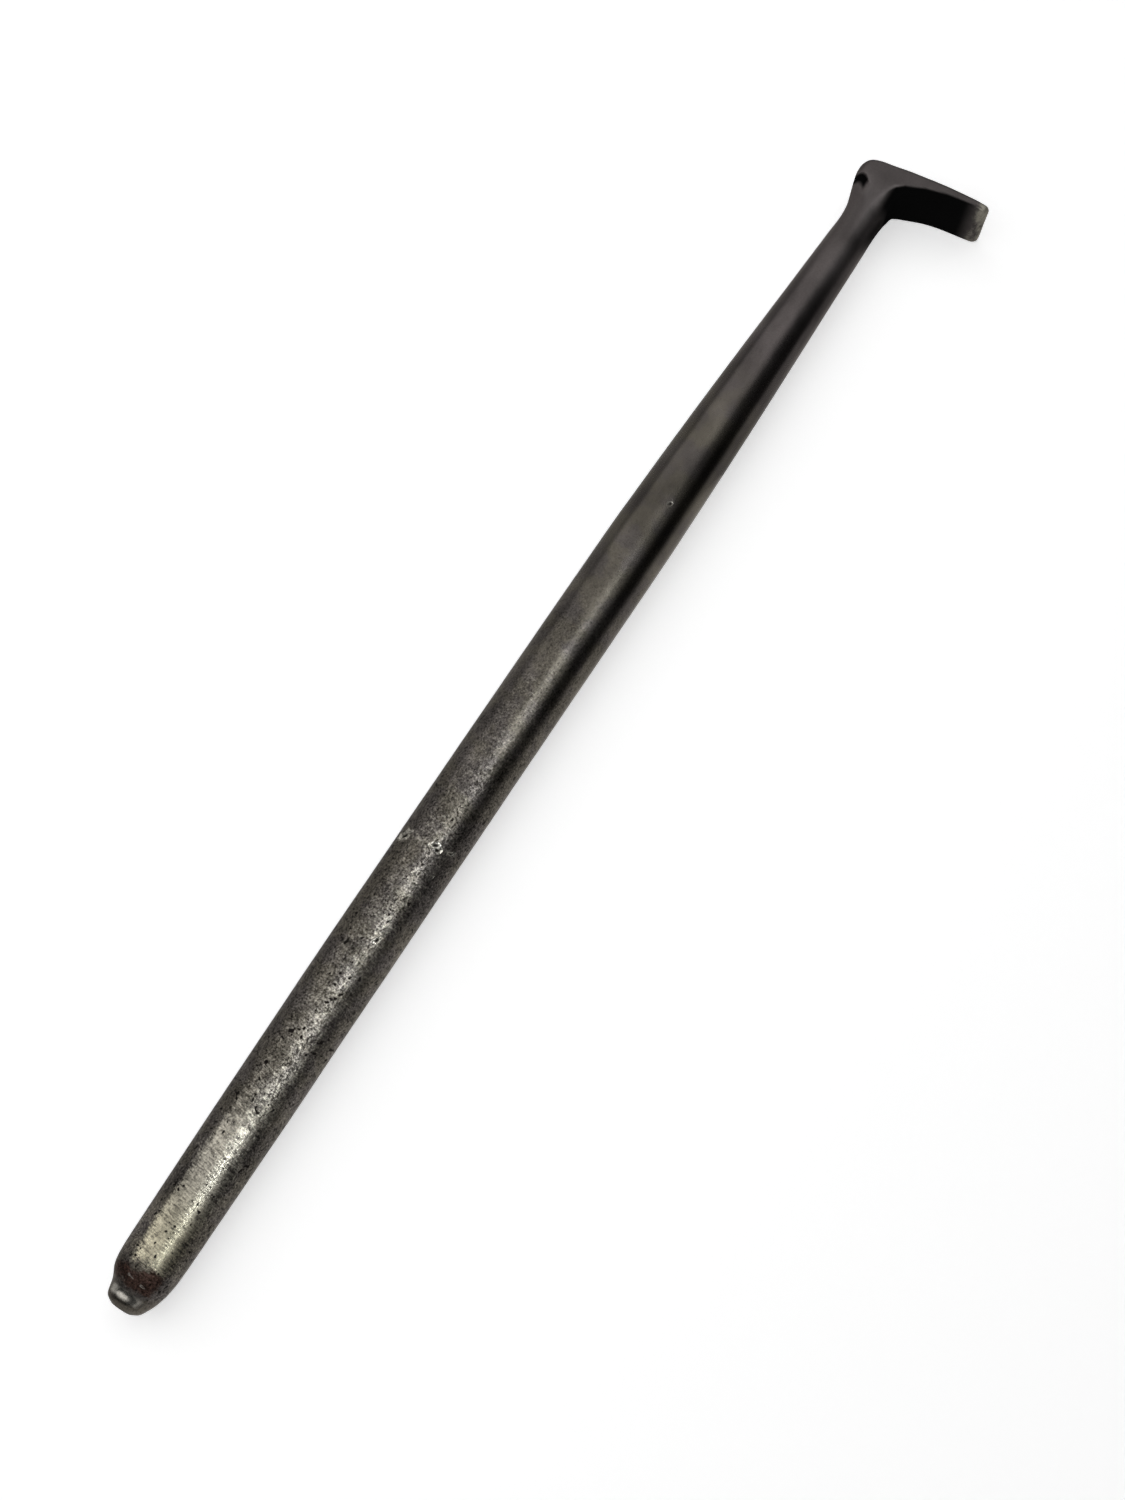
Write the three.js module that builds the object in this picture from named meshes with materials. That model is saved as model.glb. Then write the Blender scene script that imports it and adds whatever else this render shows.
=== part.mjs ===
// A rolling-head pry bar forged in one piece from round steel bar.
//
// The bar lies on its side: +X runs along it from the blunt tip to the head, +Z is up, and the
// foot of the head points towards -Y. The origin is under the middle of the object's box.
// All sizes are in millimetres.

import * as THREE from "three";
import { mergeVertices } from "three/addons/utils/BufferGeometryUtils.js";

// ---- Driving dimensions ------------------------------------------------------------------------

const BAR_DIAMETER = 19.05; // three-quarter-inch round stock
const NECK_DIAMETER = 12; // where the shaft meets the head
const LENGTH = 391.5; // from the blunt tip to the outer face of the foot
const HEAD_WIDTH = 19.8; // across the two flat sides of the head
const FOOT_REACH = 31; // from the shaft's centreline to the cutting edge
const TIP_FLAT_DIAMETER = 6; // the flat on the blunt end

const BOW = 0.65; // how far the used bar is bent sideways, at its middle
const BOW_MIDDLE = 185; // the place of the greatest bow, from the tip
const BOW_HALF_SPAN = 160; // the bow is nothing at this distance from its middle

const TOUCH_X = 110; // the shaft rests on the ground here, and the head on its flat side
const HEAD_START = 382; // from here on the two sides of the head are flat and level

const SCOOP_DEPTH = 1.65; // the hollow ground into one side of the tip
const SCOOP_MIDDLE = 5.1; // its place along the bar
const SCOOP_SPREAD = 1.9; // its half-length along the bar
const SCOOP_ANGLE = Math.PI / 3; // its middle, turned up from +Y

const SIDES = 40; // corners round each cross-section
const STEPS = 2; // cross-sections from one station to the next
const JOIN_DISTANCE = 1e-4; // corners closer than this are one
const NEARLY_ZERO = 1e-9; // keeps a corner on an axis from having no side

// The round shaft: [distance from the tip, diameter].
const SHAFT = [
  [0, TIP_FLAT_DIAMETER],
  [0.5, 8],
  [1.3, 10.3],
  [2.8, 12.2],
  [5, 14.4],
  [7.3, 15.7],
  [10, 16.6],
  [15, 17.4],
  [28, 17.8],
  [54, 18.35],
  [80, 18.7],
  [TOUCH_X, BAR_DIAMETER],
  [180, BAR_DIAMETER],
  [245, BAR_DIAMETER],
  [265, 18.5],
  [290, 17.35],
  [315, 15.8],
  [340, 13.95],
  [358, 12.65],
  [364, NECK_DIAMETER + 0.2],
];

// The head: inner and outer edge of each cross-section seen from above, its half-width, and the
// radius of its edges on the inner and on the outer side. The sections widen from the neck, and
// then turn through a right angle.
const HALF = HEAD_WIDTH / 2;
const NECK = NECK_DIAMETER / 2;
const CUT = -FOOT_REACH; // the cutting edge
const HEAD = [
  { inner: [369, -NECK], outer: [369, NECK - 0.5], half: 6.7, edges: [5.8, 5.7] },
  { inner: [373.5, -5.9], outer: [373, 5.7], half: 7.8, edges: [5.7, 5.6] },
  { inner: [376.6, -5.9], outer: [376, 6.5], half: 8.8, edges: [5.1, 4.8] },
  { inner: [379, -6], outer: [379, 7.4], half: 9.55, edges: [4.4, 3.6] },
  { inner: [380.6, -6.05], outer: [381.3, 7.9], half: 9.8, edges: [3.8, 2.8] },
  { inner: [HEAD_START, -6.4], outer: [383.9, 7.7], half: HALF, edges: [3, 2.1] },
  { inner: [382.9, -7.1], outer: [386, 6.3], half: HALF, edges: [2, 1.5] },
  { inner: [383.6, -8], outer: [387.15, 3.6], half: HALF, edges: [1.5, 1.4] },
  { inner: [384.1, -9], outer: [387.85, 0], half: HALF, edges: [1.1, 1.3] },
  { inner: [384.8, -10.4], outer: [388.8, -4.2], half: HALF, edges: [0.8, 1.3] },
  { inner: [385.6, -12.2], outer: [389.6, -9], half: HALF, edges: [0.6, 1.2] },
  { inner: [386.6, -14.8], outer: [390.3, -13.6], half: HALF, edges: [0.5, 1.1] },
  { inner: [387.6, -18.6], outer: [390.9, -18.4], half: HALF, edges: [0.5, 1] },
  { inner: [388.3, -22.5], outer: [391.3, -23.2], half: HALF, edges: [0.5, 0.9] },
  { inner: [388.8, -26], outer: [LENGTH, -26.6], half: HALF, edges: [0.5, 0.8] },
  { inner: [389.3, CUT + 1.8], outer: [LENGTH, CUT + 1.8], half: HALF - 0.05, edges: [0.5, 0.7] },
  { inner: [389.6, CUT + 0.7], outer: [LENGTH, CUT + 0.7], half: HALF - 0.5, edges: [0.5, 0.6] },
  { inner: [389.9, CUT], outer: [LENGTH - 0.3, CUT], half: HALF - 1.6, edges: [0.3, 0.3] },
];

// ---- The bar -----------------------------------------------------------------------------------

function bow(x) {
  return BOW * (1 - ((x - BOW_MIDDLE) / BOW_HALF_SPAN) ** 2);
}

function axisHeight(x) {
  const rise = (HEAD_WIDTH - BAR_DIAMETER) / 2 / (HEAD_START - TOUCH_X);
  return BAR_DIAMETER / 2 + (Math.min(x, HEAD_START) - TOUCH_X) * rise;
}

function shaftStation([x, diameter]) {
  const radius = diameter / 2;
  return {
    inner: [x, bow(x) - radius],
    outer: [x, bow(x) + radius],
    half: radius,
    edges: [radius, radius],
  };
}

function curveThrough(points) {
  return new THREE.CatmullRomCurve3(points, false, "catmullrom", 0.5);
}

// Smooth curves through the stations, read at any place from 0 at the tip to 1 at the cutting edge.
function curvesThrough(stations) {
  const edge = (side) => {
    const points = stations.map((station) => {
      const [x, y] = station[side];
      return new THREE.Vector3(x, y, axisHeight(x));
    });
    return curveThrough(points);
  };
  const sizes = stations.map(({ half, edges }) => new THREE.Vector3(half, ...edges));
  return { inner: edge("inner"), outer: edge("outer"), sizes: curveThrough(sizes) };
}

function scoop(x, across, up) {
  const turn = Math.atan2(up, across) - SCOOP_ANGLE;
  const round = ((1 + Math.cos(turn)) / 2) ** 2;
  const along = Math.exp(-(((x - SCOOP_MIDDLE) / SCOOP_SPREAD) ** 2) / 2);
  return SCOOP_DEPTH * round * along;
}

// A cross-section is a rectangle with round edges, or a circle where the edges' radius is its
// half-width. A unit circle's point (across, up) picks the point of the section.
function sectionPoint(curves, place, across, up, reach) {
  const inner = curves.inner.getPoint(place);
  const outer = curves.outer.getPoint(place);
  const [smoothHalf, innerEdge, outerEdge] = curves.sizes.getPoint(place).toArray();
  const half = Math.min(smoothHalf, HALF);
  const middle = inner.clone().add(outer).multiplyScalar(0.5);
  const halfDepth = inner.distanceTo(outer) / 2;
  const edge = Math.min(across > 0 ? outerEdge : innerEdge, halfDepth, half);
  const stretch = 1 / Math.cos(Math.PI / SIDES);
  let v = Math.sign(across) * (halfDepth - edge) + across * stretch * edge;
  let w = Math.sign(up) * (half - edge) + up * stretch * edge;
  const size = Math.hypot(v, w);
  const cut = 1 - scoop(middle.x, v, w) / size;
  v *= cut * reach;
  w *= cut * reach;
  const outwards = outer.sub(inner).normalize();
  return middle.addScaledVector(outwards, v).add(new THREE.Vector3(0, 0, w));
}

// A closed cylinder whose rings are moved onto the cross-sections.
function forgedBar() {
  const stations = [...SHAFT.map(shaftStation), ...HEAD];
  const curves = curvesThrough(stations);
  const rings = (stations.length - 1) * STEPS;
  const turn = Math.PI / SIDES;
  const cylinder = new THREE.CylinderGeometry(1, 1, 1, SIDES, rings, false, turn);
  const position = cylinder.attributes.position;
  for (let i = 0; i < position.count; i += 1) {
    const across = position.getX(i);
    const up = position.getZ(i);
    const reach = Math.hypot(across, up);
    const place = 0.5 - position.getY(i);
    const unit = reach > 0 ? 1 / reach : 1;
    const v = across * unit || NEARLY_ZERO;
    const w = up * unit || NEARLY_ZERO;
    const point = sectionPoint(curves, place, v, w, reach);
    position.setXYZ(i, point.x, point.y, point.z);
  }
  cylinder.deleteAttribute("normal");
  cylinder.deleteAttribute("uv");
  return mergeVertices(cylinder, JOIN_DISTANCE);
}

// ---- The object --------------------------------------------------------------------------------

const steel = new THREE.MeshStandardMaterial({
  color: 0x4b4641,
  roughness: 0.42,
  metalness: 0.9,
});

const bar = new THREE.Mesh(forgedBar(), steel);
bar.name = "forged_bar";

const box = new THREE.Box3().setFromObject(bar);
const tool = new THREE.Group();
tool.add(bar);
bar.position.set(-(box.min.x + box.max.x) / 2, -(box.min.y + box.max.y) / 2, -box.min.z);

export default tool;
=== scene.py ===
# The looks of a rolling-head pry bar, forged in one piece from round steel bar and long in use.
#
# The bar lies on its side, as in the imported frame: +X runs from the blunt tip to the head, +Z is up,
# and the foot of the head points towards -Y. Sizes of the bar are in millimetres from the tip and
# from the shaft's centreline, and place() turns them into the frame's metres.

import math

import bmesh
import bpy
import numpy as np
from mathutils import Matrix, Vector, noise


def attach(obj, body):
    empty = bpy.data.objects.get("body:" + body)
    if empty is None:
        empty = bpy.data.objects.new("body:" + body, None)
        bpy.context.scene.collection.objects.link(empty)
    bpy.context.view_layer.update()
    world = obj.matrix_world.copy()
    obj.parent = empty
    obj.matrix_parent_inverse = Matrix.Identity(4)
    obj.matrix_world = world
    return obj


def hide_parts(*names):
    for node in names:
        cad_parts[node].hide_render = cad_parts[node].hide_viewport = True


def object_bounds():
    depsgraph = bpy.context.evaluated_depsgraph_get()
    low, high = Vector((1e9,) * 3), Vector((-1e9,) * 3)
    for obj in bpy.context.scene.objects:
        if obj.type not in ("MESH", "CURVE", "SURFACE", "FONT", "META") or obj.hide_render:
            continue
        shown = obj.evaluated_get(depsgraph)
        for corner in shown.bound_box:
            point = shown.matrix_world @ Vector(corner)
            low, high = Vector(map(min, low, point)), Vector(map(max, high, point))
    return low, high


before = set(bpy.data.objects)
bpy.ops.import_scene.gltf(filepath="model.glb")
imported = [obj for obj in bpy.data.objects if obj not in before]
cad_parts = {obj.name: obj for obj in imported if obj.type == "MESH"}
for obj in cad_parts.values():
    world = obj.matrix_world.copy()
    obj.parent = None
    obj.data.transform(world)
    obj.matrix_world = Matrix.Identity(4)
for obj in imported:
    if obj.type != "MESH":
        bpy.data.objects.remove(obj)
CAD_LOW, CAD_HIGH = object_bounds()

# ---- Driving dimensions, in millimetres ---------------------------------------------------------

MM = 0.001
BAR_DIAMETER = 19.05
NECK_DIAMETER = 12
LENGTH = 391.5
HEAD_WIDTH = 19.8
FOOT_REACH = 31
HALF = HEAD_WIDTH / 2
NECK = NECK_DIAMETER / 2
CUT = -FOOT_REACH

BOW = 0.65
BOW_MIDDLE = 185
BOW_HALF_SPAN = 160
TOUCH_X = 110
HEAD_START = 382

SCOOP_DEPTH = 1.65
SCOOP_MIDDLE = 5.1
SCOOP_SPREAD = 1.9
SCOOP_ANGLE = math.pi / 3

# The round shaft: (distance from the tip, diameter).
SHAFT = [
    (0, 6), (0.5, 8), (1.3, 10.3), (2.8, 12.2), (5, 14.4), (7.3, 15.7), (10, 16.6), (15, 17.4),
    (28, 17.8), (54, 18.35), (80, 18.7), (TOUCH_X, BAR_DIAMETER), (180, BAR_DIAMETER),
    (245, BAR_DIAMETER), (265, 18.5), (290, 17.35), (315, 15.8), (340, 13.95), (358, 12.65),
    (364, NECK_DIAMETER + 0.2),
]

# The head: inner and outer edge of each cross-section seen from above, its half-width, and the
# radius of its edges on the inner and on the outer side.
HEAD = [
    ((369, -NECK), (369, NECK - 0.5), 6.7, (5.8, 5.7)),
    ((373.5, -5.9), (373, 5.7), 7.8, (5.7, 5.6)),
    ((376.6, -5.9), (376, 6.5), 8.8, (5.1, 4.8)),
    ((379, -6), (379, 7.4), 9.55, (4.4, 3.6)),
    ((380.6, -6.05), (381.3, 7.9), 9.8, (3.8, 2.8)),
    ((HEAD_START, -6.4), (383.9, 7.7), HALF, (3, 2.1)),
    ((382.9, -7.1), (386, 6.3), HALF, (2, 1.5)),
    ((383.6, -8), (387.15, 3.6), HALF, (1.5, 1.4)),
    ((384.1, -9), (387.85, 0), HALF, (1.1, 1.3)),
    ((384.8, -10.4), (388.8, -4.2), HALF, (0.8, 1.3)),
    ((385.6, -12.2), (389.6, -9), HALF, (0.6, 1.2)),
    ((386.6, -14.8), (390.3, -13.6), HALF, (0.5, 1.1)),
    ((387.6, -18.6), (390.9, -18.4), HALF, (0.5, 1)),
    ((388.3, -22.5), (391.3, -23.2), HALF, (0.5, 0.9)),
    ((388.8, -26), (LENGTH, -26.6), HALF, (0.5, 0.8)),
    ((389.3, CUT + 1.8), (LENGTH, CUT + 1.8), HALF - 0.05, (0.5, 0.7)),
    ((389.6, CUT + 0.7), (LENGTH, CUT + 0.7), HALF - 0.5, (0.5, 0.6)),
    ((389.9, CUT), (LENGTH - 0.3, CUT), HALF - 1.6, (0.3, 0.3)),
]

# ---- The mesh's fineness ------------------------------------------------------------------------

QUARTER = 28            # points on a quarter of each cross-section
ARC_SHARE = 0.3         # the least share of them on the round edge
NEARLY_ZERO = 1e-6      # keeps a section that has no flat side from dividing by zero
TINY_SHARE = 1e-9
TIP_STEP = 0.28         # from one ring to the next, near the tip
SHAFT_STEP = 0.72
HEAD_STEP = 0.45
TIP_END = 16            # where the tip's fine rings end
CAP_SIZES = (0.85, 0.6, 0.3)    # the smaller rings that close an end
TIP_HOLLOW = 0.15       # how deep the dish in the blunt end is
CUTS = 3                # cuts in each edge of the faces round a mark
SHARP_EDGE = 50         # an edge is sharp from this many degrees

# Marks of use on the shaft: place along the bar, angle from the top towards -Y, length along the
# bar, width round it, depth, height of the thrown-up rim, and turn in degrees.
NICKS = [
    (143.9, -46, 1.5, 0.75, 0.50, 0.40, 42),
    (146.5, 44, 1.00, 0.40, 0.30, 0.05, 70),
    (138.3, 39, 0.80, 0.35, 0.25, 0.03, 25),
    (145.9, 13, 0.90, 0.50, 0.35, 0.08, 65),
    (145.2, 21, 0.95, 0.50, 0.35, 0.08, 75),
    (115.8, 21, 0.80, 0.50, 0.30, 0.06, 20),
    (263.6, 16, 0.70, 0.50, 0.14, 0.015, 30),
    (21.8, 58, 0.35, 0.60, 0.18, 0.00, 0),
    (12.2, 24, 0.70, 0.35, 0.22, 0.00, 60),
    (8.9, -9, 0.16, 0.60, 0.10, 0.05, 12),
    (8.2, 22, 0.16, 0.65, 0.12, 0.06, 10),
    (7.2, -22, 0.14, 0.50, 0.08, 0.04, 16),
]
NICK_MARGIN = 1.1       # the mesh is finer this far round each mark's own size
RAGGEDNESS = 0.55       # how far a mark's outline strays from an oval
RAGGED_SIZE = 0.9       # the size of its bumps
CRESCENT = 0.25         # how much it bends
DENT_FALLOFF = 1.5      # how fast its depth falls off
RIM_PLACE = 1.35        # the rim's place and width, where 1 is the mark's own size
RIM_WIDTH = 0.35
PIT_SIZE = 0.95         # painted shade in a nick's bottom reaches this far, and the bared steel this far
BARE_SIZE = 1.6
BRIGHT_RIM = 0.06       # a rim this high is rubbed down to bare steel
SKIN = 0.03             # the uneven skin's mean height over the smooth shape
LONG_WAVE = 9           # its waves, and how high they are
LONG_WAVE_HEIGHT = 0.035
SHORT_WAVE = 3.5
SHORT_WAVE_HEIGHT = 0.02
TIP_SWELL = 0.2         # the bar is this much fuller on the foot's side of the tip

HOLLOW_PLACE = (380.8, 5.6)     # the forging's hollow in the heel's upper edge, at its sharp end
HOLLOW_CURVE = 0.27             # how fast its sharp end falls back on both sides
HOLLOW_LENGTH = 3.4
HOLLOW_DEPTH = 1.0
HOLLOW_REACH = 3.6              # the mesh is finer this far round it
HOLLOW_UPPER = 5                # and this far down from the head's top

# Where the near-black paint on the foot's inner face ends: its reach from the centreline, and its
# place.
NEAR_BLACK_REACH = [2.8, 3.6, 4.8, 6.6, 9, 12.2, 18.6, 26, FOOT_REACH]
NEAR_BLACK_EDGE = [378, 380, 381.8, 383.3, 384.3, 385.8, 387.7, 388.9, 390]

# ---- The bar's shape ----------------------------------------------------------------------------

# The frame's place of the tip's end, on the shaft's centreline and on the ground.
TIP_CORNER = np.array([CAD_LOW.x, CAD_LOW.y + FOOT_REACH * MM, CAD_LOW.z])


def place(points):
    """Puts points given from the tip and the centreline, in millimetres, into the frame."""
    return TIP_CORNER + np.asarray(points) * MM


def unplace(points):
    """The reverse of place()."""
    return (np.asarray(points) - TIP_CORNER) / MM


def bow(x):
    return BOW * (1 - ((x - BOW_MIDDLE) / BOW_HALF_SPAN) ** 2)


def axis_height(x):
    rise = (HEAD_WIDTH - BAR_DIAMETER) / 2 / (HEAD_START - TOUCH_X)
    return BAR_DIAMETER / 2 + (np.minimum(x, HEAD_START) - TOUCH_X) * rise


def shaft_station(x, diameter):
    radius = diameter / 2
    return (x, bow(x) - radius), (x, bow(x) + radius), radius, (radius, radius)


def curve_through(points, places):
    """Reads the smooth curve through the points at places counted in points."""
    points = np.asarray(points, float)
    first = 2 * points[:1] - points[1:2]
    last = 2 * points[-1:] - points[-2:-1]
    padded = np.concatenate([first, points, last])
    index = np.minimum(places.astype(int), len(points) - 2)
    t = (places - index)[:, None]
    a, b, c, d = (padded[index + k] for k in range(4))
    curve = 2 * b + (c - a) * t
    curve = curve + (2 * a - 5 * b + 4 * c - d) * t ** 2
    return (curve + (3 * b - a - 3 * c + d) * t ** 3) / 2


def ring_places(stations):
    """Places of the rings, counted in stations, closer together at the tip and the head."""
    places = []
    for i, (start, end) in enumerate(zip(stations, stations[1:])):
        length = max(math.dist(start[k], end[k]) for k in (0, 1))
        spacing = HEAD_STEP if i >= len(SHAFT) - 1 else SHAFT_STEP
        if start[0][0] < TIP_END:
            spacing = TIP_STEP
        count = max(2, math.ceil(length / spacing))
        places.extend(i + np.arange(count) / count)
    return np.array([*places, len(stations) - 1])


def quarter_of_section(depth, half, edge, along):
    """A quarter of a rounded rectangle, from its side's middle round the corner to its top's."""
    side = half - edge
    arc = edge * math.pi / 2
    top = depth - edge
    arc_share = ARC_SHARE + (1 - ARC_SHARE) * arc / (side + arc + top)
    arc_share = np.where(side + top < NEARLY_ZERO, 1, arc_share)
    side_share = (1 - arc_share) * side / np.maximum(side + top, NEARLY_ZERO)
    top_share = 1 - arc_share - side_share
    on_side = np.clip(along / np.maximum(side_share, TINY_SHARE), 0, 1)
    turn = np.clip((along - side_share) / arc_share, 0, 1) * math.pi / 2
    on_top = np.clip((along - side_share - arc_share) / np.maximum(top_share, TINY_SHARE), 0, 1)
    v = top * (1 - on_top) + edge * np.cos(turn)
    w = side * on_side + edge * np.sin(turn)
    return v, w


def sections(depth, half, edges):
    """(v, w) of every point of every ring: v towards the outer side, w up."""
    depth, half = depth[:, None], half[:, None]
    inner = np.minimum(np.minimum(edges[:, :1], depth), half)
    outer = np.minimum(np.minimum(edges[:, 1:], depth), half)
    forth = (np.arange(QUARTER) / QUARTER)[None, :]
    back = 1 - forth
    quarters = [
        (1, 1, outer, forth),
        (-1, 1, inner, back),
        (-1, -1, inner, forth),
        (1, -1, outer, back),
    ]
    parts = []
    for v_sign, w_sign, edge, along in quarters:
        v, w = quarter_of_section(depth, half, edge, along)
        parts.append((v_sign * v, w_sign * w))
    return np.concatenate([p[0] for p in parts], 1), np.concatenate([p[1] for p in parts], 1)


def scoop(x, v, w):
    """How deep the hollow ground into one side of the tip is."""
    turn = np.arctan2(w, v) - SCOOP_ANGLE
    round_bar = ((1 + np.cos(turn)) / 2) ** 2
    along = np.exp(-(((x - SCOOP_MIDDLE) / SCOOP_SPREAD) ** 2) / 2)
    return SCOOP_DEPTH * round_bar * along


def loft():
    """The rings' points, in millimetres, as an array of rings by points by 3."""
    stations = [shaft_station(*s) for s in SHAFT] + HEAD
    places = ring_places(stations)
    edges = []
    for side in (0, 1):
        points = [(*s[side], axis_height(s[side][0])) for s in stations]
        edges.append(curve_through(points, places))
    inner, outer = edges
    sizes = curve_through([(s[2], *s[3]) for s in stations], places)
    half = np.minimum(sizes[:, 0], HALF)
    middle = (inner + outer) / 2
    depth = np.linalg.norm(outer - inner, axis=1) / 2
    outwards = (outer - inner) / (2 * depth[:, None])
    v, w = sections(depth, half, sizes[:, 1:])
    cut = 1 - scoop(middle[:, :1], v, w) / np.hypot(v, w)
    rings = middle[:, None] + outwards[:, None] * (v * cut)[..., None]
    rings[..., 2] += w * cut
    return rings


def cap_rings(ring, inwards):
    """Smaller and smaller rings that close an end, and push in or out by inwards."""
    middle = ring.mean(0)
    push = np.array(inwards)
    return [middle + (ring - middle) * size + push * (1 - size ** 2) for size in CAP_SIZES]


def tube_faces(rings, points):
    """The quads between the rings, and the triangles to the two middles that close the ends."""
    faces = []
    for i in range(rings - 1):
        ring, after = i * points, (i + 1) * points
        for j in range(points):
            k = (j + 1) % points
            faces.append((ring + j, ring + k, after + k, after + j))
    last = (rings - 1) * points
    tip_middle = rings * points
    for j in range(points):
        k = (j + 1) % points
        faces.append((tip_middle, k, j))
        faces.append((tip_middle + 1, last + j, last + k))
    return faces


def bar_mesh():
    rings = loft()
    tip = cap_rings(rings[0], (TIP_HOLLOW, 0, 0))[::-1]
    edge = cap_rings(rings[-1], (0, 0, 0))
    rings = np.concatenate([tip, rings, edge])
    count, points = rings.shape[:2]
    vertices = np.concatenate([rings.reshape(-1, 3), rings[:1].mean(1), rings[-1:].mean(1)])
    mesh = bpy.data.meshes.new("forged_bar_steel")
    mesh.from_pydata(place(vertices).tolist(), [], tube_faces(count, points))
    return mesh


# ---- Marks, wear, and painted light and shade on the mesh ---------------------------------------


def shaft_angle(points):
    """Each point's angle round the shaft, from the top towards -Y, in radians."""
    across = points[:, 1] - bow(points[:, 0])
    up = points[:, 2] - axis_height(points[:, 0])
    return np.arctan2(-across, up)


def refine_round_marks(mesh):
    """Makes the mesh finer round the nicks and the heel's hollow."""
    bm = bmesh.new()
    bm.from_mesh(mesh)
    centres = unplace([f.calc_center_median() for f in bm.faces])
    angles = shaft_angle(centres)
    from_hollow = np.hypot(centres[:, 0] - HOLLOW_PLACE[0], centres[:, 1] - HOLLOW_PLACE[1])
    close = (from_hollow < HOLLOW_REACH) & (centres[:, 2] > HEAD_WIDTH - HOLLOW_UPPER)
    for x, degrees, length, width, *_ in NICKS:
        arc = (angles - math.radians(degrees)) * BAR_DIAMETER / 2
        close |= np.hypot(centres[:, 0] - x, arc) < NICK_MARGIN * (1 + max(length, width))
    bm.faces.ensure_lookup_table()
    edges = {e for i in np.flatnonzero(close) for e in bm.faces[i].edges}
    edges = sorted(edges, key=lambda e: e.index)
    bmesh.ops.subdivide_edges(bm, edges=edges, cuts=CUTS, use_grid_fill=True)
    bm.to_mesh(mesh)
    bm.free()


def along_and_across(points, angles, nick):
    """Each point's place on a nick, where 1 is the nick's length or width."""
    x, degrees, length, width, *_, turn = nick
    along = points[:, 0] - x
    arc = (angles - math.radians(degrees)) * BAR_DIAMETER / 2
    c, s = math.cos(math.radians(turn)), math.sin(math.radians(turn))
    return (along * c + arc * s) / length, (arc * c - along * s) / width


def nick_shape(points, angles):
    """How far the nicks move the surface, where they bare the steel and where their bottoms are
    painted dark as shade.
    """
    move = np.zeros(len(points))
    bare = np.zeros(len(points))
    pit_shade = np.zeros(len(points))
    ragged = 1 + RAGGEDNESS * soft_noise(points, RAGGED_SIZE, seed=3)
    for nick in NICKS:
        depth, rim = nick[4:6]
        a, b = along_and_across(points, angles, nick)
        far = np.hypot(a, b + CRESCENT * a ** 2) * ragged
        crest = np.exp(-((far - RIM_PLACE) / RIM_WIDTH) ** 2) * (0.6 - 0.4 * np.sign(b))
        move += rim * crest - depth * np.exp(-(far ** 2) * DENT_FALLOFF)
        # painted shade in the nick's bottom
        pit_shade = np.maximum(pit_shade, np.exp(-((far / PIT_SIZE) ** 4)))
        if rim:
            shine = min(rim / BRIGHT_RIM, 1)
            bare = np.maximum(bare, shine * np.exp(-((far / BARE_SIZE) ** 8)))
    return move, bare, pit_shade


def soft_noise(points, size, seed):
    """Smooth noise from about -1 to 1 with bumps of that size, in millimetres."""
    shift = Vector((seed * 17.3, seed * 7.1, seed * 3.7))
    return np.array([noise.noise(Vector(p) / size + shift) for p in points])


def step(values, low, high):
    """0 below low, 1 above high and smooth between."""
    t = np.clip((values - low) / (high - low), 0, 1)
    return t * t * (3 - 2 * t)


def span(values, low, full, still_full, high):
    """1 from full to still_full, 0 below low and above high, and smooth between."""
    return step(values, low, full) * (1 - step(values, still_full, high))


def heel_hollow(points):
    """How deep the hollow in the heel's upper edge is, and where it is painted dark as shade: a ramp
    down to a step up.
    """
    back = points[:, 1] - HOLLOW_PLACE[1]
    past = points[:, 0] - HOLLOW_PLACE[0] + HOLLOW_CURVE * back ** 2
    inside = step(points[:, 1], 2.8, 4.0) * step(points[:, 2], HEAD_WIDTH - 6, HEAD_WIDTH - 3)
    inside = inside * (1 - step(past, -0.1, 0.3))
    ramp = np.clip(1 + past / HOLLOW_LENGTH, 0, 1) ** 1.5
    # the second value is painted shade in the hollow's sharp end
    return HOLLOW_DEPTH * ramp * inside, step(past, -3.8, -2.0) * inside


def tip_swell(points, angles):
    """How much fuller the used bar is than the smooth shape, on the foot's side of the tip."""
    x, degrees = points[:, 0], np.degrees(angles)
    return TIP_SWELL * span(x, 5, 12, 60, 105) * span(degrees, 15, 60, 100, 150)


def worn_mask(x, degrees):
    """Where use has rubbed the patina off: the upper side, and most of all near the tip."""
    worn = step(x, 10, 16.5) * (1 - 0.67 * step(x, 22, 84) - 0.16 * step(x, 90, 190))
    worn = worn * (1 - step(x, 190, 250)) * (1 - 0.85 * step(-degrees, 19, 38))
    return worn * (1 - 0.75 * step(degrees, 33, 54)) * (1 - 0.9 * step(degrees, 62, 82))


def scorched_mask(x, degrees):
    """The brown band behind the tip."""
    slanted = x - 2.5 * step(degrees, -15, 35)
    along = step(x, 5, 7.5) * (1 - step(slanted, 9, 12.5))
    return along * span(degrees, -75, -40, 32, 60)


def near_black_and_shade_mask(x, y, degrees):
    """Near-black paint on the foot's inner face, and painted shade in the corner below the neck."""
    inner_edge = np.interp(-y, NEAR_BLACK_REACH, NEAR_BLACK_EDGE)
    facing = 1 - step(x, inner_edge + 0.15, inner_edge + 0.95)
    foot = span(-y, 2.7, 4.7, 24, 30.5) * step(x, 369, 377) * facing
    # painted shade in the corner below the neck, on its side towards the foot
    corner = 0.8 * step(degrees, 30, 58) * span(x, 361, 369, 376, 380)
    return np.maximum(foot, corner)


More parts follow.
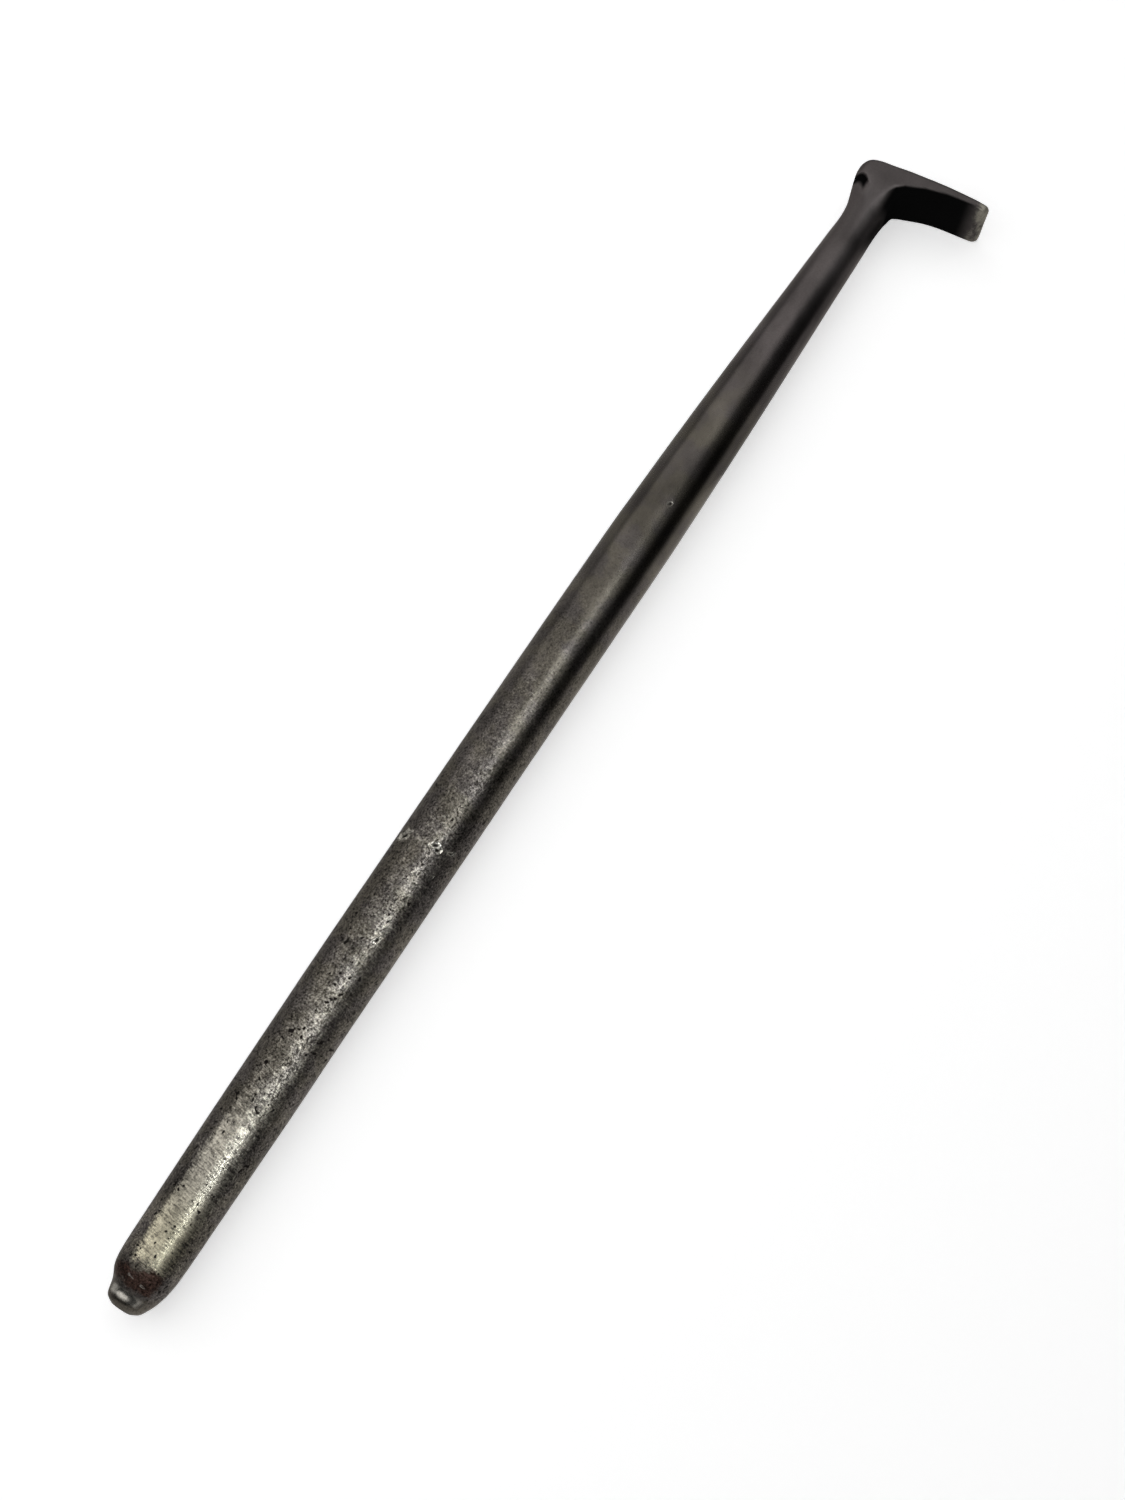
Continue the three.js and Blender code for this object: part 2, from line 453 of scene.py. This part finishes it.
def painted_light_of(x, degrees):
    """Painted light and shade on the steel, where 1 is its plain colour."""
    neck = step(x, 285, 345)
    on_shaft = 1 - step(x, 364, 374)
    # painted shade and light along the bar, round the neck and on the head's flats
    shade = 1 - 0.12 * step(x, 225, 250) - 0.2 * step(x, 356, 366) + 0.14 * step(x, 376, 381)
    shade += 0.5 * step(-degrees, 5, 42) * span(x, 335, 368, 379, 383)
    shade -= 0.25 * step(degrees, 0, 14) * span(x, 358, 366, 372, 376)
    # a painted highlight on the upper side behind the tip
    shade += 0.6 * step(-degrees, 4, 20) * span(x, 11, 14, 18, 34)
    # painted reflections that make the silhouettes lighter, most of all on the neck
    shade += (0.2 + 0.65 * neck) * step(-degrees, 44, 74) * on_shaft
    shade += (0.05 + 0.6 * neck) * step(degrees, 62, 84) * on_shaft
    # a painted dark reflection in a band on the foot's side of the shaft
    shade -= 0.4 * span(x, 130, 170, 280, 305) * span(degrees, 22, 36, 44, 60)
    return shade


def wear_and_painted_light_of(points, angles, bare, pit_shade, hollow):
    """The masks that the steel's nodes read."""
    x, y = points[:, 0], points[:, 1]
    degrees = np.degrees(angles)
    ground = 0.8 * step(x, 380, 382) * step(-y, 26, 30)
    # the blunt end's button: polished, and painted lighter as a highlight
    button = span(x, 2.2, 3.2, 4.2, 5.4) * (1 - step(np.abs(degrees + 8), 32, 62))
    roughness = 1 - 0.25 * step(x, 145, 180) - 0.3 * step(x, 180, 210) - 0.39 * step(x, 210, 262)
    return {
        "worn": np.maximum(worn_mask(x, degrees), np.maximum(ground, bare)),
        # polished steel, painted lighter than bare steel as a highlight on the button and the nick
        # rims
        "polish_and_painted_highlight": np.maximum(button, 0.5 * bare * (1 - pit_shade)),
        "scorched": scorched_mask(x, degrees),
        "rough_skin": roughness * (0.3 + 0.7 * step(x, 4.5, 7)),
        # near-black paint on the foot's face, with painted shade in the neck's corner and the heel's
        # hollow
        "black_and_painted_shade": np.maximum(near_black_and_shade_mask(x, y, degrees), hollow),
        # painted light and shade
        "shade": painted_light_of(x, degrees),
        "straw": span(x, 9, 13, 20, 42),
        "ashen": step(x, 285, 322),
        # painted shade in the nicks' bottoms
        "pit_shade": pit_shade,
        "satin": 0.6 * step(x, 320, 364) + 0.4 * step(x, 362, 370),
    }


def marks_wear_and_painted_light(mesh):
    """Moves the mesh for the marks and the skin, and puts the wear and the painted light and shade on
    it as attributes.
    """
    count = len(mesh.vertices)
    co = np.empty(count * 3)
    mesh.vertices.foreach_get("co", co)
    co = co.reshape(-1, 3)
    normals = np.array([n.vector for n in mesh.vertex_normals])
    points = unplace(co)
    angles = shaft_angle(points)
    nicks, bare, pit_shade = nick_shape(points, angles)
    hollow_depth, hollow = heel_hollow(points)
    stretched = points * (0.5, 1, 1)
    long_waves = LONG_WAVE_HEIGHT * soft_noise(stretched, LONG_WAVE, seed=1)
    short_waves = SHORT_WAVE_HEIGHT * soft_noise(points, SHORT_WAVE, seed=2)
    move = nicks + (long_waves + short_waves) + SKIN + tip_swell(points, angles)
    moved = co + normals * (move * MM)[:, None]
    moved[:, 2] -= hollow_depth * MM
    mesh.vertices.foreach_set("co", moved.ravel())
    for name, values in wear_and_painted_light_of(points, angles, bare, pit_shade, hollow).items():
        attribute = mesh.attributes.new(name, "FLOAT", "POINT")
        attribute.data.foreach_set("value", values.astype(np.float32))
    unrolled = np.stack([points[:, 0], angles * BAR_DIAMETER / 2, np.zeros(count)], 1)
    attribute = mesh.attributes.new("unrolled", "FLOAT_VECTOR", "POINT")
    attribute.data.foreach_set("vector", unrolled.astype(np.float32).ravel())


# ---- The steel ----------------------------------------------------------------------------------


class Graph:
    """Short calls for a node tree. Any input may be a socket, a number or a colour."""

    def __init__(self, tree):
        self.tree = tree
        tree.nodes.clear()

    def node(self, kind, inputs=None, **settings):
        made = self.tree.nodes.new(kind)
        for name, value in settings.items():
            setattr(made, name, value)
        for name, value in (inputs or {}).items():
            self.feed(made.inputs[name], value)
        return made

    def feed(self, socket, value):
        if isinstance(value, bpy.types.NodeSocket):
            self.tree.links.new(value, socket)
        else:
            socket.default_value = value

    def attribute(self, name, output="Fac"):
        return self.node("ShaderNodeAttribute", attribute_name=name).outputs[output]

    def math(self, operation, a, b=0.0):
        made = self.node("ShaderNodeMath", {0: a, 1: b}, operation=operation)
        return made.outputs[0]

    def add(self, total, *values):
        for value in values:
            total = self.math("ADD", total, value)
        return total

    def times(self, product, *values):
        for value in values:
            product = self.math("MULTIPLY", product, value)
        return product

    def swing(self, noise_value, amount=1.0):
        """The noise's swing about its middle, times amount."""
        return self.times(self.math("SUBTRACT", noise_value, 0.5), amount)

    def step(self, value, low, high):
        inputs = {"Value": value, "From Min": low, "From Max": high}
        return self.node("ShaderNodeMapRange", inputs, interpolation_type="SMOOTHSTEP").outputs[0]

    def mix(self, factor, a, b):
        made = self.node("ShaderNodeMix", {0: factor, 6: a, 7: b}, data_type="RGBA")
        return made.outputs[2]

    def blend(self, factor, a, b):
        made = self.node("ShaderNodeMix", {0: factor, 2: a, 3: b}, data_type="FLOAT")
        return made.outputs[0]

    def noise(self, vector, scale, detail=2.0, roughness=0.5):
        inputs = {"Vector": vector, "Scale": scale, "Detail": detail, "Roughness": roughness}
        return self.node("ShaderNodeTexNoise", inputs).outputs[0]

    def mapped(self, vector, scale, turn=0.0):
        inputs = {"Vector": vector, "Scale": scale, "Rotation": (0, 0, turn)}
        return self.node("ShaderNodeMapping", inputs, vector_type="TEXTURE").outputs[0]


PATINA = (0.116, 0.104, 0.086, 1)
PURPLE_PATINA = (0.102, 0.091, 0.084, 1)
ASHEN_PATINA = (0.110, 0.0965, 0.094, 1)
BARE_STEEL = (0.37, 0.345, 0.29, 1)
STRAW_STEEL = (0.39, 0.358, 0.265, 1)
# polished steel, painted lighter than bare steel as a highlight
POLISH_AND_PAINTED_HIGHLIGHT = (0.62, 0.59, 0.53, 1)
SPECK = (0.012, 0.010, 0.009, 1)
SCORCH = (0.060, 0.036, 0.029, 1)
# near-black paint, also used as painted shade in the neck's corner and the heel's hollow
NEAR_BLACK = (0.004, 0.004, 0.004, 1)
EDGE_TINT = (0.76, 0.74, 0.71, 1)
BUMP_HEIGHT = 0.00006


MASKS = [
    "worn", "polish_and_painted_highlight", "scorched", "rough_skin", "black_and_painted_shade", "shade", "straw", "ashen", "pit_shade",
    "satin",
]


def steel_noises(g):
    """The noises that the layers of the steel share."""
    spot = g.node("ShaderNodeTexCoord").outputs["Object"]
    unrolled = g.attribute("unrolled", "Vector")
    ring_scratches = g.noise(g.mapped(unrolled, (0.45, 4.5, 1)), 1.0, 2, 0.6)
    slanted = g.mapped(unrolled, (0.4, 4, 1), math.radians(14))
    return {
        "blotches": g.noise(spot, 130, 3),
        "stains": g.noise(g.mapped(spot, (1.8, 1, 1)), 120, 3),
        "clouds": g.noise(spot, 330, 2),
        "grain": g.noise(spot, 1700, 2, 0.7),
        "specks": g.noise(spot, 1100, 4, 0.75),
        "pits": g.noise(spot, 620, 1),
        "scratches": g.blend(0.5, ring_scratches, g.noise(slanted, 1.0, 2, 0.6)),
    }


def rubbed_amount(g, masks, noises):
    """Where the patina is rubbed off down to bare steel."""
    worn = masks["worn"]
    brushing = g.blend(g.step(worn, 0.25, 0.6), 0.9, 2.6)
    brushed = g.times(g.swing(noises["scratches"]), brushing)
    patchy = g.times(g.swing(noises["clouds"]), g.blend(worn, 0.45, 1.4))
    blotchy = g.swing(noises["blotches"], 0.45)
    grainy = g.swing(noises["grain"], 0.8)
    rubbed = g.add(worn, brushed, patchy, blotchy, grainy)
    return g.times(g.step(rubbed, 0.15, 1.0), g.step(worn, 0.0, 0.1))


def speck_amount(g, masks, noises):
    """Small rust pits, and painted shade in the bottoms of the nicks."""
    specks = g.times(g.step(noises["specks"], 0.5, 0.64), g.blend(masks["worn"], 0.9, 0.45))
    specks = g.math("MAXIMUM", specks, g.step(noises["pits"], 0.67, 0.72))
    specks = g.times(specks, masks["rough_skin"])
    return g.math("MAXIMUM", specks, masks["pit_shade"])


def burnt_amount(g, masks, noises):
    """The scorched band, broken up by scratches."""
    scratched = g.swing(noises["scratches"], -1.6)
    cloudy = g.swing(noises["clouds"], 1.2)
    return g.step(g.add(masks["scorched"], scratched, cloudy), 0.25, 0.85)


def steel_tone(g, masks, noises):
    """What the colour is multiplied by: grain, clouds, scratches, stains and the painted light and
    shade, about 1.
    """
    fine = g.times(g.swing(noises["grain"], 4.4), g.blend(masks["worn"], 1.0, 0.35))
    skin = g.times(g.add(fine, g.swing(noises["clouds"], 0.7)), masks["rough_skin"])
    brushed = g.times(g.swing(noises["scratches"], 2.6), masks["worn"])
    stained = g.times(g.swing(noises["stains"], 1.5), g.blend(masks["satin"], 1.0, 0.35))
    # the painted light and shade multiplies it all
    return g.times(g.add(skin, 1.0, brushed, stained), masks["shade"])


def steel_colour(g, masks, noises, specks, burnt):
    patina = g.mix(g.step(noises["blotches"], 0.4, 0.62), PATINA, PURPLE_PATINA)
    patina = g.mix(masks["ashen"], patina, ASHEN_PATINA)
    bare_steel = g.mix(masks["straw"], BARE_STEEL, STRAW_STEEL)
    colour = g.mix(rubbed_amount(g, masks, noises), patina, bare_steel)
    colour = g.mix(specks, colour, SPECK)
    colour = g.mix(burnt, colour, SCORCH)
    # the polished button and nick rims, painted lighter as a highlight
    colour = g.mix(masks["polish_and_painted_highlight"], colour, POLISH_AND_PAINTED_HIGHLIGHT)
    toned = {0: colour, 1: steel_tone(g, masks, noises)}
    colour = g.node("ShaderNodeVectorMath", toned, operation="MULTIPLY").outputs[0]
    # near-black paint, and painted shade in the neck's corner and the heel's hollow
    return g.mix(masks["black_and_painted_shade"], colour, NEAR_BLACK)


def steel_roughness(g, masks, noises, specks, burnt):
    skin = g.blend(masks["rough_skin"], 0.26, 0.32)
    rough = g.blend(g.step(masks["worn"], 0.1, 0.9), skin, 0.25)
    grainy = g.times(g.swing(noises["grain"], 0.2), masks["rough_skin"])
    rough = g.add(rough, grainy, g.times(specks, 0.25))
    rough = g.blend(burnt, rough, 0.42)
    rough = g.blend(masks["satin"], rough, 0.56)
    rough = g.blend(masks["polish_and_painted_highlight"], rough, 0.2)
    return g.blend(masks["black_and_painted_shade"], rough, 0.85)


def steel_bump(g, masks, noises, specks):
    skin = g.math("SUBTRACT", g.swing(noises["grain"]), g.times(specks, 0.5))
    skin = g.times(skin, g.math("POWER", masks["rough_skin"], 2.0))
    skin = g.times(skin, g.blend(masks["worn"], 2.3, 0.25))
    brushed = g.times(noises["scratches"], masks["worn"], 0.8)
    inputs = {"Height": g.add(skin, brushed), "Distance": BUMP_HEIGHT, "Strength": 1.0}
    return g.node("ShaderNodeBump", inputs).outputs[0]


def forged_steel():
    material = bpy.data.materials.new("forged_steel")
    material.use_nodes = True
    g = Graph(material.node_tree)
    masks = {name: g.attribute(name) for name in MASKS}
    noises = steel_noises(g)
    specks = speck_amount(g, masks, noises)
    burnt = burnt_amount(g, masks, noises)
    shader = g.node("ShaderNodeBsdfPrincipled", {
        "Base Color": steel_colour(g, masks, noises, specks, burnt),
        "Metallic": g.blend(masks["black_and_painted_shade"], 1.0, 0.0),
        "Roughness": steel_roughness(g, masks, noises, specks, burnt),
        "Normal": steel_bump(g, masks, noises, specks),
        "Specular IOR Level": 0.0,
        "Specular Tint": EDGE_TINT,
    })
    g.node("ShaderNodeOutputMaterial", {"Surface": shader.outputs[0]})
    return material


def forged_bar():
    mesh = bar_mesh()
    refine_round_marks(mesh)
    marks_wear_and_painted_light(mesh)
    mesh.shade_smooth()
    mesh.set_sharp_from_angle(angle=math.radians(SHARP_EDGE))
    mesh.materials.append(forged_steel())
    bar = bpy.data.objects.new("rolling_head_bar", mesh)
    bpy.context.scene.collection.objects.link(bar)
    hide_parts("forged_bar")
    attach(bar, "root")


# ---- Camera, floor and light --------------------------------------------------------------------

MIDDLE = (CAD_LOW + CAD_HIGH) / 2
BASE = Vector((MIDDLE.x, MIDDLE.y, CAD_LOW.z))

CAMERA_FROM_BASE = Vector((-0.1287, -0.08385, 0.594))
CAMERA_TILT = 14        # degrees from looking straight down
CAMERA_TURN = -56.8
LENS = 52.0
SENSOR = 36.0


def add_camera():
    data = bpy.data.cameras.new("camera")
    data.lens = LENS
    data.sensor_width = SENSOR
    data.clip_start = 0.01
    camera = bpy.data.objects.new("camera", data)
    camera.location = BASE + CAMERA_FROM_BASE
    camera.rotation_euler = (math.radians(CAMERA_TILT), 0, math.radians(CAMERA_TURN))
    bpy.context.scene.collection.objects.link(camera)
    bpy.context.scene.camera = camera


FLOOR_SIZE = 16
FLOOR_PALENESS = 0.9
FLOOR_GLOW = 0.57
NEAR_FLOOR = (0.34, 0.1)
NEAR_FLOOR_MIDDLE = (-0.08, -0.045, 0.00005)
NEAR_FLOOR_SHADE = 0.8
FLOOR_SHADE = 0.5       # how bright the steel sees the floor
PANEL_HEIGHT = 0.8
WHITE = (1, 1, 1)
COOL = (0.93, 0.98, 1)
LEVEL = (0, 0, 0)       # no turn, and no way from the base
DARK_ROOM = (0.015, 0.015, 0.015, 1)
PALE_ROOM = (0.6, 0.6, 0.6, 1)


def add_ground(name, base, glow, size=(FLOOR_SIZE, FLOOR_SIZE), middle=LEVEL):
    """A level rectangle on the ground that also glows."""
    corners = [(-0.5, -0.5), (0.5, -0.5), (0.5, 0.5), (-0.5, 0.5)]
    mesh = bpy.data.meshes.new(name)
    points = [BASE + Vector(middle) + Vector((u * size[0], v * size[1], 0)) for u, v in corners]
    mesh.from_pydata(points, [], [(0, 1, 2, 3)])
    material = bpy.data.materials.new(name)
    material.use_nodes = True
    g = Graph(material.node_tree)
    shader = g.node("ShaderNodeBsdfPrincipled", {
        "Base Color": (base, base, base, 1),
        "Roughness": 0.9,
        "Specular IOR Level": 0.1,
        "Emission Color": (1, 1, 1, 1),
        "Emission Strength": glow,
    })
    g.node("ShaderNodeOutputMaterial", {"Surface": shader.outputs[0]})
    mesh.materials.append(material)
    ground = bpy.data.objects.new(name, mesh)
    bpy.context.scene.collection.objects.link(ground)
    return ground


def add_floor():
    """A pale floor, and dimmer ones in its place that only the steel's reflections see."""
    floor = add_ground("floor", FLOOR_PALENESS, FLOOR_GLOW)
    floor.visible_glossy = False
    far = add_ground("reflected_floor", 0.0, FLOOR_SHADE)
    near = add_ground("reflected_near_floor", 0.0, NEAR_FLOOR_SHADE, NEAR_FLOOR, NEAR_FLOOR_MIDDLE)
    for reflected in (far, near):
        reflected.visible_camera = False
        reflected.visible_diffuse = False
        reflected.visible_shadow = False


def add_panel(name, middle, size, radiance, turn=LEVEL, on_floor=True, in_steel=True, colour=WHITE):
    """A rectangle of light that shines down, or where turn points it, unseen by the camera."""
    width, depth = size
    data = bpy.data.lights.new(name, "AREA")
    data.shape = "RECTANGLE"
    data.size, data.size_y = width, depth
    data.energy = radiance * math.pi * width * depth
    data.color = colour
    lamp = bpy.data.objects.new(name, data)
    lamp.location = BASE + Vector(middle)
    lamp.rotation_euler = [math.radians(t) for t in turn]
    lamp.visible_camera = False
    lamp.visible_diffuse = on_floor
    lamp.visible_glossy = in_steel
    bpy.context.scene.collection.objects.link(lamp)


def add_reflection(name, middle, size, radiance, turn=0, colour=WHITE):
    """A patch of ceiling that only the steel's reflections see, turned about its middle."""
    high_up = (*middle, PANEL_HEIGHT)
    add_panel(name, high_up, size, radiance, (0, 0, turn), on_floor=False, colour=colour)


def add_world():
    """A pale background for the camera and near darkness for everything else."""
    world = bpy.data.worlds.new("studio")
    world.use_nodes = True
    g = Graph(world.node_tree)
    seen = g.node("ShaderNodeLightPath").outputs["Is Camera Ray"]
    shade = g.mix(seen, DARK_ROOM, PALE_ROOM)
    background = g.node("ShaderNodeBackground", {"Color": shade})
    g.node("ShaderNodeOutputWorld", {"Surface": background.outputs[0]})
    bpy.context.scene.world = world


def add_light():
    add_panel("panel", (0.15, 1.125, PANEL_HEIGHT), (1.35, 2.35), 0.95)
    add_panel("panel_fade", (0.15, -0.125, PANEL_HEIGHT), (1.35, 0.15), 0.7)
    add_panel("panel_edge", (0.05, -0.275, PANEL_HEIGHT), (1.15, 0.15), 0.4)
    add_reflection("side_panel", (1.41, 1.125), (1.17, 2.35), 0.9)
    add_panel("wall", (0.15, 2.4, 0.4), (4.5, 0.8), 0.3, turn=(-90, 0, 0), on_floor=False)
    add_reflection("back_strip", (-0.36, 0.8), (0.34, 0.28), 0.7)
    add_reflection("shoulder", (-0.2, -0.63), (0.4, 0.27), 0.6)
    add_reflection("far_shoulder", (0.2, -0.63), (0.4, 0.27), 0.42)
    add_reflection("low_shoulder", (-0.33, -0.955), (0.34, 0.37), 0.25)
    add_reflection("far_low_shoulder", (0.02, -0.955), (0.36, 0.37), 0.09)
    add_reflection("tip_shoulder", (-0.475, -1.77), (0.85, 1.26), 0.13)
    add_reflection("tip_strip", (-0.25, -0.42), (0.24, 0.11), 2.3, colour=COOL)
    add_reflection("near_strip", (-0.083, -0.365), (0.13, 0.055), 40, 38, COOL)
    add_reflection("far_strip", (0.038, -0.221), (0.13, 0.045), 125, 15, COOL)
    add_reflection("end_strip", (0.155, -0.195), (0.08, 0.05), 18, 15, COOL)
    add_panel("tip_wall", (-1.25, -0.2, 0.45), (0.9, 2.4), 0.55, turn=(0, -90, 0), on_floor=False)
    add_panel("floor_light", (0.15, 0.965, PANEL_HEIGHT), (1.6, 2.67), 2.1, in_steel=False)


forged_bar()
add_floor()
add_camera()
add_world()
add_light()
bpy.context.scene.view_settings.view_transform = "Standard"
